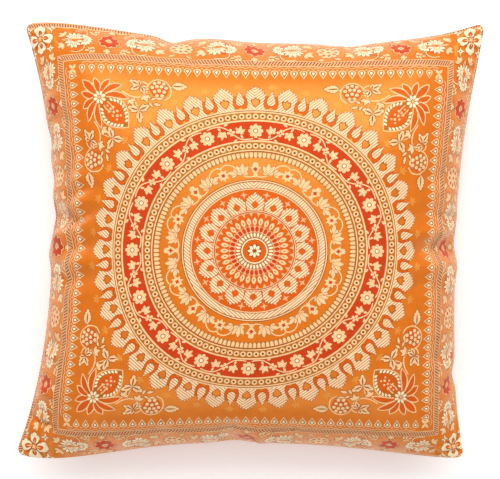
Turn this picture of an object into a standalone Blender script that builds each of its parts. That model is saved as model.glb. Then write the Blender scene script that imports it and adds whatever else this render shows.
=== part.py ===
"""A filled square cushion in a woven silk cover, lying on its back with its worked face up.

The front and back panels are cut to one size and sewn together edge to edge. Filled, the cloth
keeps its length: its slope grows from flat at the middle to steep at the seam, so the sides draw
in and the corners stay out as thin ears. The top edge of the face is toward +Y. Metres, +Z up.
"""

import math

import bmesh
import bpy
from mathutils import Vector

# The cut panels and how far the filling lifts them from the seam's level
CUT_WIDTH = 0.400
CUT_HEIGHT = 0.391
FACE_CROWN = 0.065
BACK_CROWN = 0.062

# The back settles on the surface: what would reach below this depth is pressed flat
REST_DEPTH = 0.056
REST_EASE = 0.003

# The middle section: the cloth's slope at the seam, and how late it comes
SEAM_SLOPE = math.radians(79)
SLOPE_POWER = 2.73
FULLNESS_POWER = 0.57
SECTION_STEPS = 200

# The seam allowance folded inside holds each panel this far off the seam's level, within a few
# millimetres of the seam
ALLOWANCE_LIFT = 0.0012
ALLOWANCE_POWER = 24

# Half the size between the drawn-in sides, at their middles
WAIST_X = 0.1725
WAIST_Y = 0.1710

# An ear's own pull covers this share of the two half sides together
EAR_SHARE = 0.60

# Where along a side it swells, and how near the seam the swelling stays
SWELL_POWER = 3
SWELL_REACH = 16

# Cells along each side of a panel, and the share of the half cut over which a slope is measured
CELLS = 48
SLOPE_STEP = 0.002

# Points past this share of the half cut are the seam's own: half a cell short of it
SEAM_SHARE = 1 - 0.5 / CELLS

# The panels' seam points are joined within this distance, and edges past this angle stay sharp
WELD_DISTANCE = 0.00001
SHARP_ANGLE = math.radians(60)

# Corner ears: where the tip lies on the sides' own lines, and how far the filling pulls it back
EARS = {
    # name: (tip x, tip y, pull x, pull y)
    "top_left": (-0.2000, 0.1890, 0.0014, -0.0059),
    "top_right": (0.1945, 0.1915, -0.0026, 0.0007),
    "bottom_left": (-0.2015, -0.1890, -0.0007, 0.0040),
    "bottom_right": (0.1920, -0.1875, -0.0073, 0.0078),
}

# Sides: the power by which a side leaves its waist for the ear at its lower or left end, then at
# its upper or right end. A high power is a straight side with a short ear.
SIDES = {
    # name: (power at the start, power at the end)
    "left": (2.1, 2.6),
    "right": (5.0, 2.4),
    "top": (2.0, 3.0),
    "bottom": (1.6, 3.1),
}

# How far a side swells outward between its waist and its ear, at those same two ends
SWELLS = {
    # name: (swell at the start, swell at the end)
    "left": (-0.0006, 0.0009),
    "right": (0.0029, 0.0019),
    "top": (0.0044, -0.0011),
    "bottom": (0.0064, 0.0032),
}

# Folds that run in from the seam or from just inside it, in shares of the half panel. A negative
# depth is a ridge.
FOLDS = (
    # (outer end u, outer end v, inner end u, inner end v, depth, half width)
    (-0.95, 0.11, -0.62, 0.03, 0.0060, 0.012),
    (-1.00, 0.27, -0.66, 0.31, 0.0020, 0.012),
    (-1.00, 0.44, -0.68, 0.42, 0.0020, 0.011),
    (-1.00, -0.06, -0.66, 0.00, -0.0025, 0.011),
    (0.93, 0.01, 0.62, 0.00, 0.0060, 0.013),
    (1.00, -0.09, 0.74, -0.10, -0.0020, 0.011),
    (1.00, -0.58, 0.84, -0.56, 0.0030, 0.010),
    (-0.35, 1.00, -0.34, 0.76, 0.0045, 0.011),
    (-0.16, 1.00, -0.17, 0.84, -0.0020, 0.022),
    (0.40, 1.00, 0.38, 0.82, 0.0030, 0.022),
    (-0.04, -0.94, -0.05, -0.78, 0.0040, 0.014),
    (-0.82, -0.82, -0.60, -0.60, 0.0025, 0.014),
    (0.82, 0.80, 0.62, 0.60, 0.0020, 0.014),
)

# The cover's woven silk
SILK_COLOUR = (0.89, 0.40, 0.10, 1.0)
SILK_ROUGHNESS = 0.42


def clear_scene():
    """Remove what the file holds, so that only the cushion is left."""
    for old in list(bpy.data.objects):
        bpy.data.objects.remove(old, do_unlink=True)


def silk_material():
    """The cover's orange silk."""
    material = bpy.data.materials.new("woven_silk")
    material.use_nodes = True
    shader = material.node_tree.nodes["Principled BSDF"]
    shader.inputs["Base Color"].default_value = SILK_COLOUR
    shader.inputs["Roughness"].default_value = SILK_ROUGHNESS
    shader.inputs["Metallic"].default_value = 0.0
    return material


def middle_section():
    """Plan reach and height of the middle section, at even steps of cloth from middle to seam."""
    reach, height = [0.0], [0.0]
    for step in range(SECTION_STEPS):
        slope = SEAM_SLOPE * ((step + 0.5) / SECTION_STEPS) ** SLOPE_POWER
        reach.append(reach[-1] + math.cos(slope))
        height.append(height[-1] + math.sin(slope))
    return [r / reach[-1] for r in reach], [1 - h / height[-1] for h in height]


REACH, HEIGHT = middle_section()


def read_section(values, share):
    """A value of the middle section at a share of the cloth, between two steps."""
    place = min(abs(share), 1.0) * SECTION_STEPS
    step = min(int(place), SECTION_STEPS - 1)
    part = place - step
    return values[step] * (1 - part) + values[step + 1] * part


def seam_distance(along, waist, start, end, powers):
    """How far a side of the seam lies from the middle line, at -1 to 1 along that side."""
    tip, power = (start, powers[0]) if along < 0 else (end, powers[1])
    return waist + (tip - waist) * abs(along) ** power


def blend(low, high, share):
    """A value between low at share -1 and high at share 1."""
    return low + (high - low) * (share + 1) / 2


def plan_point(a, b):
    """Plan place of the panel's point at shares a and b, ruled between its four seam sides."""
    tips = {name: Vector(ear[:2]) for name, ear in EARS.items()}
    tl, tr, bl, br = (tips[name] for name in EARS)
    left = Vector((-seam_distance(b, WAIST_X, -bl.x, -tl.x, SIDES["left"]), blend(bl.y, tl.y, b)))
    right = Vector((seam_distance(b, WAIST_X, br.x, tr.x, SIDES["right"]), blend(br.y, tr.y, b)))
    top = Vector((blend(tl.x, tr.x, a), seam_distance(a, WAIST_Y, tl.y, tr.y, SIDES["top"])))
    low_y = -seam_distance(a, WAIST_Y, -bl.y, -br.y, SIDES["bottom"])
    bottom = Vector((blend(bl.x, br.x, a), low_y))
    low, high = blend(bl, br, a), blend(tl, tr, a)
    return blend(left, right, a) + blend(bottom, top, b) - blend(low, high, b)


def ear_pull(u, v):
    """How far the point is pulled along with its corner's tip, in plan."""
    name = ("bottom_" if v < 0 else "top_") + ("left" if u < 0 else "right")
    near = max(0.0, (abs(u) + abs(v) - 2 + EAR_SHARE) / EAR_SHARE)
    return Vector(EARS[name][2:]) * near ** 2


def side_swell(name, along, across):
    """How far a side's swelling moves the point outward, at -1 to 1 along and 0 to 1 across."""
    ends = abs(along) ** SWELL_POWER
    return SWELLS[name][0 if along < 0 else 1] * 4 * ends * (1 - ends) * across ** SWELL_REACH


def seam_ease(u, v):
    """How far the point is moved in plan by its ear's pull and its sides' swelling."""
    swell_x = side_swell("left" if u < 0 else "right", v, abs(u))
    swell_y = side_swell("bottom" if v < 0 else "top", u, abs(v))
    return ear_pull(u, v) + Vector((-swell_x if u < 0 else swell_x, -swell_y if v < 0 else swell_y))


def allowance_lift(u, v):
    """How far the folded seam allowance holds the panel off the seam's level."""
    return ALLOWANCE_LIFT * (1 - abs(u) ** ALLOWANCE_POWER) * (1 - abs(v) ** ALLOWANCE_POWER)


def filled_point(u, v, crown):
    """The smooth panel's point at shares u and v of the half cut, its seam at height zero."""
    lift_u, lift_v = read_section(HEIGHT, u), read_section(HEIGHT, v)
    reach_u = math.copysign(read_section(REACH, u), u)
    reach_v = math.copysign(read_section(REACH, v), v)
    a = u + lift_v ** FULLNESS_POWER * (reach_u - u)
    b = v + lift_u ** FULLNESS_POWER * (reach_v - v)
    place = plan_point(a, b) + seam_ease(u, v)
    return Vector((place.x, place.y, crown * lift_u * lift_v + allowance_lift(u, v)))


def fold_depth(u, v):
    """How deep all folds together press the cloth at shares u and v."""
    at = Vector((u * CUT_WIDTH / 2, v * CUT_HEIGHT / 2))
    total = 0.0
    for start_u, start_v, end_u, end_v, depth, half_width in FOLDS:
        start = Vector((start_u * CUT_WIDTH / 2, start_v * CUT_HEIGHT / 2))
        run = Vector((end_u * CUT_WIDTH / 2, end_v * CUT_HEIGHT / 2)) - start
        along = max(0.0, min(1.0, (at - start).dot(run) / run.length_squared))
        aside = (at - start - run * along).length / half_width
        total += depth * (1 - along) * math.exp(-aside * aside)
    return total


def folded_point(u, v, crown):
    """The panel's point with its folds pressed in along the cloth's own normal."""
    step_u = -math.copysign(SLOPE_STEP, u)
    step_v = -math.copysign(SLOPE_STEP, v)
    point = filled_point(u, v, crown)
    along_u = (filled_point(u + step_u, v, crown) - point) / step_u
    along_v = (filled_point(u, v + step_v, crown) - point) / step_v
    normal = along_u.cross(along_v).normalized()
    return point - normal * fold_depth(u, v)


def seam_point(u, v):
    """A point of the seam, which both panels share."""
    point = folded_point(u, v, FACE_CROWN)
    return Vector((point.x, point.y, seam_level()))


def seam_level():
    """Height of the seam above the surface that the cushion lies on."""
    return REST_DEPTH - REST_EASE


def settle(depth):
    """Height above the surface of a back point that hangs this far below the seam."""
    spare = REST_DEPTH - depth
    if spare <= 0:
        return 0.0
    if spare < 2 * REST_EASE:
        return spare * spare / (4 * REST_EASE)
    return spare - REST_EASE


def face_point(u, v):
    """A point of the worked face."""
    return folded_point(u, v, FACE_CROWN) + Vector((0, 0, seam_level()))


def back_point(u, v):
    """A point of the back, hung below the seam and pressed flat where it rests."""
    point = folded_point(u, v, BACK_CROWN)
    return Vector((point.x, point.y, settle(point.z)))


def split_corner_cells(bm, grid):
    """Crease each corner cell from its tip inward, so that the ear has thickness to its tip."""
    for tip in (vertex for vertex in grid if len(vertex.link_edges) == 2):
        cell = tip.link_faces[0]
        inner = max(cell.verts, key=lambda vertex: (vertex.co - tip.co).length)
        bmesh.ops.connect_verts(bm, verts=[tip, inner])


def panel(bm, place):
    """A square panel of even cells, put in its place by the given function."""
    made = bmesh.ops.create_grid(bm, x_segments=CELLS, y_segments=CELLS, size=1.0)["verts"]
    split_corner_cells(bm, made)
    for vertex in made:
        u, v = vertex.co.x, vertex.co.y
        on_seam = max(abs(u), abs(v)) > SEAM_SHARE
        vertex.co = seam_point(u, v) if on_seam else place(u, v)
    return made


def centre_on_origin(bm):
    """Move the shape so that the middle of its box, seen from above, is the origin."""
    for axis in (0, 1):
        values = [vertex.co[axis] for vertex in bm.verts]
        middle = (min(values) + max(values)) / 2
        for vertex in bm.verts:
            vertex.co[axis] -= middle


def build_cushion(material):
    """The filled cushion: face and back panels joined at the seam into one closed body."""
    bm = bmesh.new()
    panel(bm, face_point)
    back = panel(bm, back_point)
    bmesh.ops.reverse_faces(bm, faces=list({face for vertex in back for face in vertex.link_faces}))
    bmesh.ops.remove_doubles(bm, verts=bm.verts, dist=WELD_DISTANCE)
    centre_on_origin(bm)
    bmesh.ops.recalc_face_normals(bm, faces=bm.faces)
    mesh = bpy.data.meshes.new("cushion")
    bm.to_mesh(mesh)
    bm.free()
    mesh.shade_smooth()
    mesh.set_sharp_from_angle(angle=SHARP_ANGLE)
    mesh.materials.append(material)
    cushion = bpy.data.objects.new("cushion", mesh)
    bpy.context.scene.collection.objects.link(cushion)
    return cushion


clear_scene()
build_cushion(silk_material())
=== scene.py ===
"""A filled square cushion in a woven silk brocade cover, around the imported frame.

The cover is two panels cut to one size and sewn together as a knife edge. The face panel's figures
are woven, so each is an area of the panel's own mesh in its yarn. Lengths of the woven design are
in millimetres from the middle of its round medallion; everything else is in metres, as the frame.
"""

import logging
import math
from collections.abc import Callable, Iterable
from dataclasses import dataclass, field
from enum import Enum
from functools import partial

import bmesh
import bpy
import numpy as np
from mathutils import Matrix, Vector
from mathutils.geometry import delaunay_2d_cdt


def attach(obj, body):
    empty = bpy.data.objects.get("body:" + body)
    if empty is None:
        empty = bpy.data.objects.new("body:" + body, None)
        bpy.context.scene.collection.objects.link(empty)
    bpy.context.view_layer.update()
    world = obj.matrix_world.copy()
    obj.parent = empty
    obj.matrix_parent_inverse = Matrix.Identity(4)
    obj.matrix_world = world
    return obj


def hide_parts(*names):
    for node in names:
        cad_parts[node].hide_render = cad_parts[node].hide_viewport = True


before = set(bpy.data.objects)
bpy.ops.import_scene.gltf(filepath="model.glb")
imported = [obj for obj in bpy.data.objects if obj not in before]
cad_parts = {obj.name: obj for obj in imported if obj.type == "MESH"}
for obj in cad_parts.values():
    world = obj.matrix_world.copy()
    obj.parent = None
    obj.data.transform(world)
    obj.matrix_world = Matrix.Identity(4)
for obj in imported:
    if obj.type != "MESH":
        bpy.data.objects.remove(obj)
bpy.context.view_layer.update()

LOG = logging.getLogger("cushion")
MM = 0.001
# How near to 1 a share of the half cut counts as on the seam
ON_SEAM = 1 - 1e-9
# Lower than this, in metres, the cloth lies on the floor
LYING = 0.004


# Finishes


class Yarn(Enum):
    """The yarns and floats that show on the cover, each a material of its own."""

    GROUND = "golden_orange_satin"
    DEEP = "deep_orange_float"
    RED = "vermilion_float"
    OLD_GOLD = "old_gold_hatched_float"
    PEACH = "peach_float"
    CREAM = "cream_float"
    TWILL = "cream_twill_float"
    BRIGHT = "ivory_float"
    BROWN = "russet_outline"
    DARK = "dark_umber_outline"
    SHADE = "faint_gold_sprig"
    BACK = "plain_orange_backing"


GROUND, DEEP, RED, OLD_GOLD, PEACH, CREAM, TWILL, BRIGHT, BROWN, DARK, SHADE, BACK = Yarn


def linear(hex_colour: str) -> tuple[float, float, float, float]:
    """Turn an sRGB hex colour to linear.

    Args:
        hex_colour: six hex digits.

    Returns:
        Linear red, green and blue, and an alpha of one.
    """
    parts = [int(hex_colour[i : i + 2], 16) / 255 for i in (0, 2, 4)]
    red, green, blue = (p / 12.92 if p <= 0.04045 else ((p + 0.055) / 1.055) ** 2.4 for p in parts)
    return red, green, blue, 1.0


def add_node(
    tree: bpy.types.NodeTree,
    kind: str,
    values: dict | None = None,
    links: dict | None = None,
    **settings: object,
) -> bpy.types.Node:
    """Add a shader node with its settings, its sockets' values and the links into it.

    Args:
        tree: the tree that gets the node.
        kind: the node's type, without the words that all of them begin with.
        values: numbers or colours for its input sockets, by name or place.
        links: output sockets that feed its input sockets, by name or place.
        **settings: the node's own properties.

    Returns:
        The new node.
    """
    node = tree.nodes.new("ShaderNode" + kind)
    for name, value in settings.items():
        setattr(node, name, value)
    for name, value in (values or {}).items():
        node.inputs[name].default_value = value
    for name, socket in (links or {}).items():
        tree.links.new(socket, node.inputs[name])
    return node


@dataclass(frozen=True)
class SilkFinish:
    """Filament silk on the cover: a base colour, a darker one in its hollows, and its float lines.

    Long satin floats give the ground its gold sheen; the figures' twill floats show as fine
    diagonal lines, which run mirrored on either side of the upright middle line. The lines are
    drawn coarser than the real floats, as the eye takes them together.
    """

    light: str
    shade: str
    line_share: float
    pitch: float
    roughness: float
    specular: float
    tint: str
    sheen: float
    height: float = 0.00012
    metallic: float = 0.0

    def material(self, name: str) -> bpy.types.Material:
        """Make the material.

        Args:
            name: the material's name.

        Returns:
            The new material.
        """
        made = bpy.data.materials.new(name)
        made.use_nodes = True
        made.node_tree.nodes.clear()
        add = partial(add_node, made.node_tree)
        place = add("UVMap", uv_map="cloth").outputs["UV"]
        apart = add("SeparateXYZ", links={0: place})
        across = add("Math", operation="ABSOLUTE", links={0: apart.outputs["X"]})
        mirrored = add("CombineXYZ", links={"X": across.outputs[0], "Y": apart.outputs["Y"]})
        slant = {"Rotation": (0, 0, math.radians(LINE_TURN))}
        turned = add("Mapping", values=slant, links={"Vector": mirrored.outputs[0]})
        rate = WAVE_TURNS / (self.pitch * MM)
        wave = {"Scale": rate, "Distortion": 0.6, "Detail": 1.0, "Detail Scale": 2.0}
        lines = add("TexWave", bands_direction="X", values=wave, links={"Vector": turned.outputs[0]})
        slubs, bloom = (
            add("TexNoise", values={"Scale": scale, "Detail": 3.0, "Roughness": 0.6}, links={"Vector": place})
            for scale in (SLUB_SCALE, BLOOM_SCALE)
        )
        both = {2: lines.outputs["Fac"], 3: slubs.outputs["Fac"]}
        mixed = add("Mix", data_type="FLOAT", values={0: 0.2}, links=both)
        reach = {"From Min": 0.2, "From Max": 0.7, "To Min": self.line_share, "To Max": 0.0}
        amount = add("MapRange", values=reach, links={"Value": mixed.outputs[0]})
        colours = {6: linear(self.light), 7: linear(self.shade)}
        cloth = add("Mix", data_type="RGBA", values=colours, links={0: amount.outputs[0]})
        reach = {"From Min": 0.3, "From Max": 0.7, "To Min": 0.93, "To Max": 1.07}
        value = add("MapRange", values=reach, links={"Value": bloom.outputs["Fac"]})
        varied = add("HueSaturation", links={"Color": cloth.outputs[2], "Value": value.outputs[0]})
        relief = {"Strength": 0.5, "Distance": self.height}
        bump = add("Bump", values=relief, links={"Height": mixed.outputs[0]})
        shader = add(
            "BsdfPrincipled",
            values={
                "Roughness": self.roughness, "IOR": SILK_IOR, "Metallic": self.metallic,
                "Specular IOR Level": self.specular, "Specular Tint": linear(self.tint),
                "Sheen Weight": self.sheen, "Sheen Roughness": 0.4, "Sheen Tint": linear(self.tint),
            },
            links={"Base Color": varied.outputs[0], "Normal": bump.outputs[0]},
        )
        add("OutputMaterial", links={"Surface": shader.outputs[0]})
        return made


# Silk fibre's index, the slant of its float lines, and a wave texture's scale for one line a metre
SILK_IOR = 1.54
LINE_TURN = 50.0
WAVE_TURNS = 2 * math.pi / 20
# The yarn's slubs, about a millimetre, and the cloud of lighter and darker dye, about a centimetre
SLUB_SCALE = 900.0
BLOOM_SCALE = 90.0

# Light and hollow colour, how far the float lines show, their spacing in millimetres, roughness,
# specular level, the tint of the gloss, sheen, and for smooth yarns the relief's height
FINISHES = {
    # Long satin floats: a smooth ground that gleams gold where it turns to the light
    GROUND: SilkFinish("DE6E12", "BE5004", 0.25, 1.4, 0.27, 1.0, "FFEA88", 0.03, 0.00006),
    # Short orange floats: a redder, duller orange inside petals and rings
    DEEP: SilkFinish("D85A1A", "BC420A", 0.3, 1.4, 0.42, 0.4, "FFD050", 0.03),
    # Vermilion weft: the one strong colour, matt and a little uneven
    RED: SilkFinish("D2461E", "A8300E", 0.6, 1.4, 0.45, 0.15, "FF9850", 0.02),
    # Gold weft crossed by brown: reads as hatched old gold behind rings and leaves
    OLD_GOLD: SilkFinish("BE7028", "984C12", 0.8, 1.4, 0.42, 0.3, "FFE080", 0.02),
    # Peach weft: the soft pink of the rope stripes and small rows
    PEACH: SilkFinish("F0B484", "D08858", 0.5, 1.4, 0.5, 0.15, "FFD0A0", 0.02),
    # Cream weft: the main figures, pale with peach lines between the floats
    CREAM: SilkFinish("F8D09C", "DEA268", 0.6, 1.4, 0.5, 0.15, "FFD8A0", 0.02),
    # Cream weft in open twill: slanted brown lines over the big petals
    TWILL: SilkFinish("FCDCB0", "C47A48", 0.85, 1.95, 0.5, 0.15, "FFD8A0", 0.02),
    # Closely packed cream weft: the brightest dots and strokes
    BRIGHT: SilkFinish("FEEAC4", "ECC490", 0.5, 1.4, 0.5, 0.2, "FFE0B0", 0.02),
    # Russet weft: the thin warm line round most figures
    BROWN: SilkFinish("A04A1A", "7C3610", 0.4, 1.4, 0.5, 0.1, "FFB060", 0.0),
    # Dark weft: the strokes of the rope stripes and the holes of the small rings
    DARK: SilkFinish("84380F", "622608", 0.4, 1.4, 0.5, 0.1, "FFB060", 0.0),
    # Gold floats on the ground: sprigs hardly lighter than it, seen by their gloss
    SHADE: SilkFinish("E28C3E", "CC702A", 0.4, 1.4, 0.42, 0.8, "FFE870", 0.04),
    # The back's plain weave: an even orange with a soft bloom
    BACK: SilkFinish("DA6412", "BC4C08", 0.5, 1.4, 0.42, 0.8, "FFE060", 0.1, 0.0001),
}


# The filled form, as the part's own source works it out


@dataclass
class FilledForm:
    """The panels' filled shape from the cut cloth's length, its slope and the seam's four sides."""

    cut: tuple[float, float] = (0.400, 0.391)
    face_crown: float = 0.065
    back_crown: float = 0.062
    rest_depth: float = 0.056
    rest_ease: float = 0.003
    seam_slope: float = math.radians(79)
    slope_power: float = 2.73
    fullness_power: float = 0.57
    steps: int = 2000
    allowance_lift: float = 0.0012
    allowance_power: int = 24
    waist: tuple[float, float] = (0.1725, 0.1710)
    ear_share: float = 0.60
    swell_power: int = 3
    swell_reach: int = 16
    slope_step: float = 0.002
    middle: tuple[float, float] = (-0.00515, 0.001755)
    ears: dict = field(
        default_factory=lambda: {
            "top_left": (-0.2000, 0.1890, 0.0014, -0.0059),
            "top_right": (0.1945, 0.1915, -0.0026, 0.0007),
            "bottom_left": (-0.2015, -0.1890, -0.0007, 0.0040),
            "bottom_right": (0.1920, -0.1875, -0.0073, 0.0078),
        }
    )
    swells: dict = field(
        default_factory=lambda: {
            "left": (-0.0006, 0.0009),
            "right": (0.0029, 0.0019),
            "top": (0.0044, -0.0011),
            "bottom": (0.0064, 0.0032),
        }
    )
    sides: dict = field(
        default_factory=lambda: {
            "left": (2.1, 2.6),
            "right": (5.0, 2.4),
            "top": (2.0, 3.0),
            "bottom": (1.6, 3.1),
        }
    )
    folds: tuple = (
        (-0.95, 0.11, -0.62, 0.03, 0.0060, 0.012),
        (-1.00, 0.27, -0.66, 0.31, 0.0020, 0.012),
        (-1.00, 0.44, -0.68, 0.42, 0.0020, 0.011),
        (-1.00, -0.06, -0.66, 0.00, -0.0025, 0.011),
        (0.93, 0.01, 0.62, 0.00, 0.0060, 0.013),
        (1.00, -0.09, 0.74, -0.10, -0.0020, 0.011),
        (1.00, -0.58, 0.84, -0.56, 0.0030, 0.010),
        (-0.35, 1.00, -0.34, 0.76, 0.0045, 0.011),
        (-0.16, 1.00, -0.17, 0.84, -0.0020, 0.022),
        (0.40, 1.00, 0.38, 0.82, 0.0030, 0.022),
        (-0.04, -0.94, -0.05, -0.78, 0.0040, 0.014),
        (-0.82, -0.82, -0.60, -0.60, 0.0025, 0.014),
        (0.82, 0.80, 0.62, 0.60, 0.0020, 0.014),
    )

    def __post_init__(self) -> None:
        """Work out the middle section's reach and height once."""
        slope = self.seam_slope * ((np.arange(self.steps) + 0.5) / self.steps) ** self.slope_power
        reach = np.concatenate([[0.0], np.cumsum(np.cos(slope))])
        height = np.concatenate([[0.0], np.cumsum(np.sin(slope))])
        self.reach, self.height = reach / reach[-1], 1 - height / height[-1]

    def section(self, values: np.ndarray, share: np.ndarray) -> np.ndarray:
        """Read the middle section at shares of the cloth."""
        return np.interp(np.minimum(np.abs(share), 1) * self.steps, np.arange(self.steps + 1), values)

    @staticmethod
    def blend(low: np.ndarray, high: np.ndarray, share: np.ndarray) -> np.ndarray:
        """Give low at share -1 and high at share 1."""
        return low + (high - low) * (share + 1) / 2

    def seam_distance(
        self, along: np.ndarray, waist: float, ends: tuple[float, float], side: str
    ) -> np.ndarray:
        """How far a side of the seam lies from the middle line.

        Args:
            along: places along the side, -1 to 1.
            waist: the distance at the side's middle.
            ends: the distances at its two tips.
            side: the side's name.

        Returns:
            The distances.
        """
        tip = np.where(along < 0, ends[0], ends[1])
        power = np.where(along < 0, *self.sides[side])
        return waist + (tip - waist) * np.abs(along) ** power

    def plan(self, a: np.ndarray, b: np.ndarray) -> np.ndarray:
        """Plan places at shares a and b, ruled between the four sides of the seam.

        Args:
            a: shares from left to right.
            b: shares from bottom to top.

        Returns:
            The places, with x and y last.
        """
        tl, tr, bl, br = (np.array(ear[:2]) for ear in self.ears.values())
        wide, high = self.waist
        out = self.seam_distance
        left = np.stack([-out(b, wide, (-bl[0], -tl[0]), "left"), self.blend(bl[1], tl[1], b)], -1)
        right = np.stack([out(b, wide, (br[0], tr[0]), "right"), self.blend(br[1], tr[1], b)], -1)
        top = np.stack([self.blend(tl[0], tr[0], a), out(a, high, (tl[1], tr[1]), "top")], -1)
        bottom = np.stack([self.blend(bl[0], br[0], a), -out(a, high, (-bl[1], -br[1]), "bottom")], -1)
        a, b = a[..., None], b[..., None]
        corners = self.blend(self.blend(bl, br, a), self.blend(tl, tr, a), b)
        return self.blend(left, right, a) + self.blend(bottom, top, b) - corners

    def seam_ease(self, u: np.ndarray, v: np.ndarray) -> np.ndarray:
        """How far points are moved in plan by their ear's pull and their sides' swelling.

        Args:
            u: shares of the half cut to the right.
            v: shares of the half cut to the top.

        Returns:
            The moves in x and y.
        """
        tl, tr, bl, br = (np.array(ear[2:]) for ear in self.ears.values())
        near = np.maximum(0, (np.abs(u) + np.abs(v) - 2 + self.ear_share) / self.ear_share)[..., None] ** 2
        is_left, is_low = (u < 0)[..., None], (v < 0)[..., None]
        pull = np.where(is_low, np.where(is_left, bl, br), np.where(is_left, tl, tr)) * near

        def swell(name: str, along: np.ndarray, across: np.ndarray) -> np.ndarray:
            """How far one side's swelling moves the points outward."""
            ends = np.abs(along) ** self.swell_power
            most = np.where(along < 0, *self.swells[name])
            return most * 4 * ends * (1 - ends) * np.abs(across) ** self.swell_reach

        out_x = np.where(u < 0, -swell("left", v, u), swell("right", v, u))
        out_y = np.where(v < 0, -swell("bottom", u, v), swell("top", u, v))
        return pull + np.stack([out_x, out_y], -1)

    def smooth_point(self, u: np.ndarray, v: np.ndarray, crown: float) -> np.ndarray:
        """The panel's points before its folds, the seam at height zero.

        Args:
            u: shares of the half cut to the right.
            v: shares of the half cut to the top.
            crown: how high the filling lifts the middle.

        Returns:
            The points, with x, y and z last.
        """
        lift_u, lift_v = self.section(self.height, u), self.section(self.height, v)
        a = u + lift_v**self.fullness_power * (np.sign(u) * self.section(self.reach, u) - u)
        b = v + lift_u**self.fullness_power * (np.sign(v) * self.section(self.reach, v) - v)
        place = self.plan(a, b) + self.seam_ease(u, v)
        ease = (1 - np.abs(u) ** self.allowance_power) * (1 - np.abs(v) ** self.allowance_power)
        return np.concatenate([place, (crown * lift_u * lift_v + self.allowance_lift * ease)[..., None]], -1)

    def fold_depth(self, u: np.ndarray, v: np.ndarray) -> np.ndarray:
        """How deep the main folds press the cloth.

        Args:
            u: shares of the half cut to the right.
            v: shares of the half cut to the top.

        Returns:
            The depths.
        """
        half = np.array(self.cut) / 2
        at = np.stack([u, v], -1) * half
        total = np.zeros(u.shape)
        for *ends, depth, half_width in self.folds:
            start = np.array(ends[:2]) * half
            run = np.array(ends[2:]) * half - start
            along = np.clip((at - start) @ run / (run @ run), 0, 1)
            aside = np.linalg.norm(at - start - run * along[..., None], axis=-1) / half_width
            total += depth * (1 - along) * np.exp(-aside * aside)
        return total

    def folded(self, u: np.ndarray, v: np.ndarray, crown: float) -> np.ndarray:
        """The panel's points with the main folds pressed in along the cloth's normal.

        Args:
            u: shares of the half cut to the right.
            v: shares of the half cut to the top.
            crown: how high the filling lifts the middle.

        Returns:
            The points.
        """
        step_u, step_v = np.where(u < 0, 1, -1) * self.slope_step, np.where(v < 0, 1, -1) * self.slope_step
        point = self.smooth_point(u, v, crown)
        along_u = (self.smooth_point(u + step_u, v, crown) - point) / step_u[..., None]
        along_v = (self.smooth_point(u, v + step_v, crown) - point) / step_v[..., None]
        normal = np.cross(along_u, along_v)
        normal /= np.linalg.norm(normal, axis=-1, keepdims=True)
        return point - normal * self.fold_depth(u, v)[..., None]

    def to_frame(self, points: np.ndarray) -> np.ndarray:
        """Move points by the middle of the plan's box, where the frame has its origin."""
        return points - np.array([*self.middle, 0.0])

    def face(self, u: np.ndarray, v: np.ndarray) -> np.ndarray:
        """Points of the worked face.

        Args:
            u: shares of the half cut to the right.
            v: shares of the half cut to the top.

        Returns:
            The points in the frame's own place.
        """
        points = self.folded(u, v, self.face_crown)
        points[..., 2] += self.rest_depth - self.rest_ease
        return self.on_seam(self.to_frame(points), u, v)

    def back(self, u: np.ndarray, v: np.ndarray) -> np.ndarray:
        """Points of the back, pressed flat where it rests.

        Args:
            u: shares of the half cut to the right.
            v: shares of the half cut to the top.

        Returns:
            The points in the frame's own place.
        """
        points = self.folded(u, v, self.back_crown)
        spare = self.rest_depth - points[..., 2]
        eased = np.where(spare < 2 * self.rest_ease, spare**2 / (4 * self.rest_ease), spare - self.rest_ease)
        points[..., 2] = np.where(spare <= 0, 0, eased)
        return self.on_seam(self.to_frame(points), u, v)

    def on_seam(self, points: np.ndarray, u: np.ndarray, v: np.ndarray) -> np.ndarray:
        """Set the points of the seam to the seam's own level."""
        points[np.maximum(np.abs(u), np.abs(v)) > ON_SEAM, 2] = self.rest_depth - self.rest_ease
        return points


@dataclass
class Panel:
    """One filled panel on an even grid of its cloth, for reading smooth places and normals."""

    points: np.ndarray
    side: int

    def __post_init__(self) -> None:
        """Work out the grid's normals once."""
        along_u = np.gradient(self.points, axis=1)
        along_v = np.gradient(self.points, axis=0)
        normal = np.cross(along_u, along_v) * self.side
        self.normals = normal / np.maximum(np.linalg.norm(normal, axis=-1, keepdims=True), 1e-12)

    def read(self, grid: np.ndarray, u: np.ndarray, v: np.ndarray) -> np.ndarray:
        """Read a grid between its points.

        Args:
            grid: values at the grid's points.
            u: shares to the right, -1 to 1.
            v: shares to the top, -1 to 1.

        Returns:
            The values at the places.
        """
        last = grid.shape[0] - 1
        x, y = (np.clip(u, -1, 1) + 1) / 2 * last, (np.clip(v, -1, 1) + 1) / 2 * last
        i, j = np.minimum(x.astype(int), last - 1), np.minimum(y.astype(int), last - 1)
        fx, fy = (x - i)[:, None], (y - j)[:, None]
        low = grid[j, i] * (1 - fx) + grid[j, i + 1] * fx
        high = grid[j + 1, i] * (1 - fx) + grid[j + 1, i + 1] * fx
        return low * (1 - fy) + high * fy


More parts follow.
